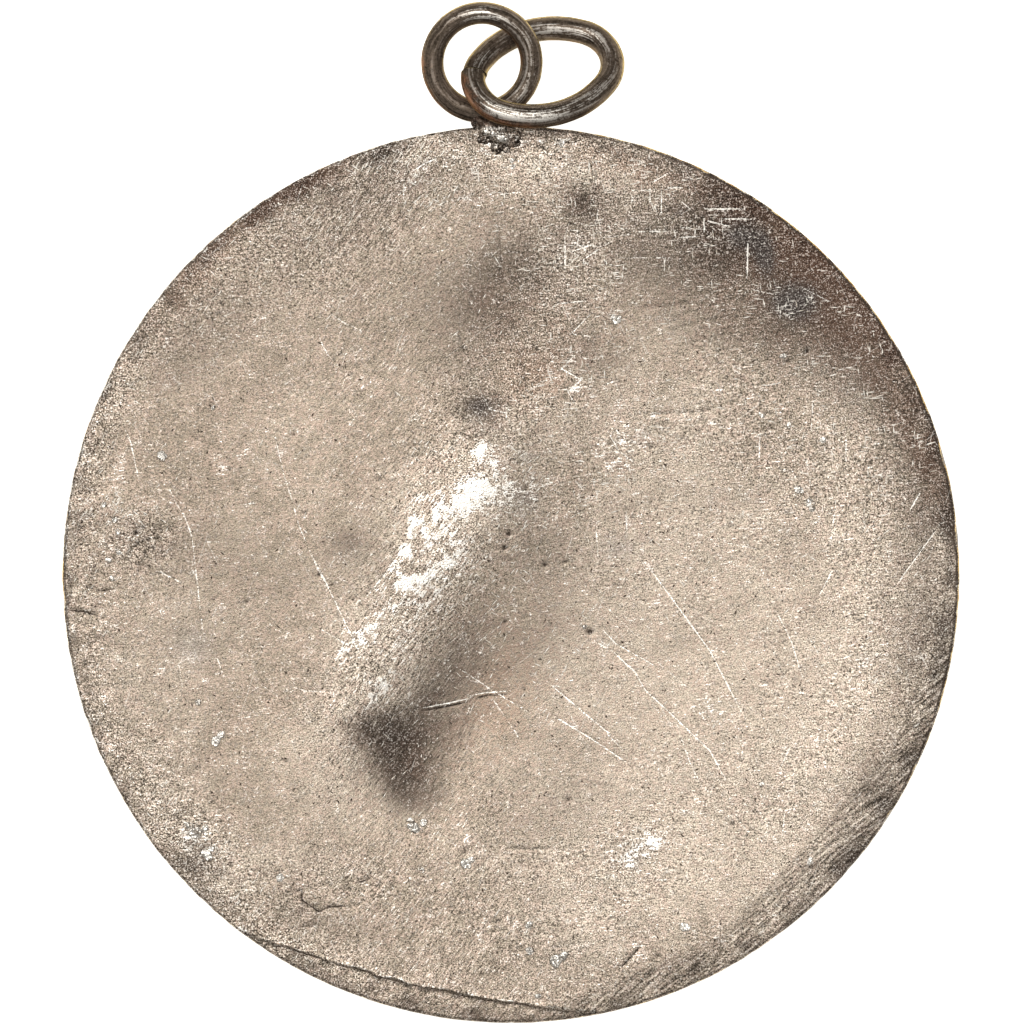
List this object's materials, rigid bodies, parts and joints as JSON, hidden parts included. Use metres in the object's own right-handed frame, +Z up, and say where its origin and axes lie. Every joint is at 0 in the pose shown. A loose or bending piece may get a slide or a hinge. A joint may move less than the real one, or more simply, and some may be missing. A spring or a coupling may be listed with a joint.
{
  "type": "commemorative medal",
  "caption": "Round metal medal lying face down, with a plain hollowed back, a soldered wire loop and an oval jump ring threaded through it.",
  "frame": {"origin": "on the table under the middle of the whole piece's bounding box", "axes": "+Z up from the table and out of the plain back, +Y from the medal's centre towards its loop, +X to the right as the back is seen with the loop at the top"},
  "size_m": [0.045, 0.0512, 0.0042],
  "materials": {
    "tarnished_silver": "hand-finished cast silver alloy with warm grey-brown tarnish, burnished spots, scratches and file marks",
    "oxidised_wire": "drawn silver wire, darkly oxidised, with rubbed highlights"
  },
  "bodies": {
    "root": {"medal_disc": "tarnished_silver", "jump_ring": "oxidised_wire"}
  },
  "joints": []
}
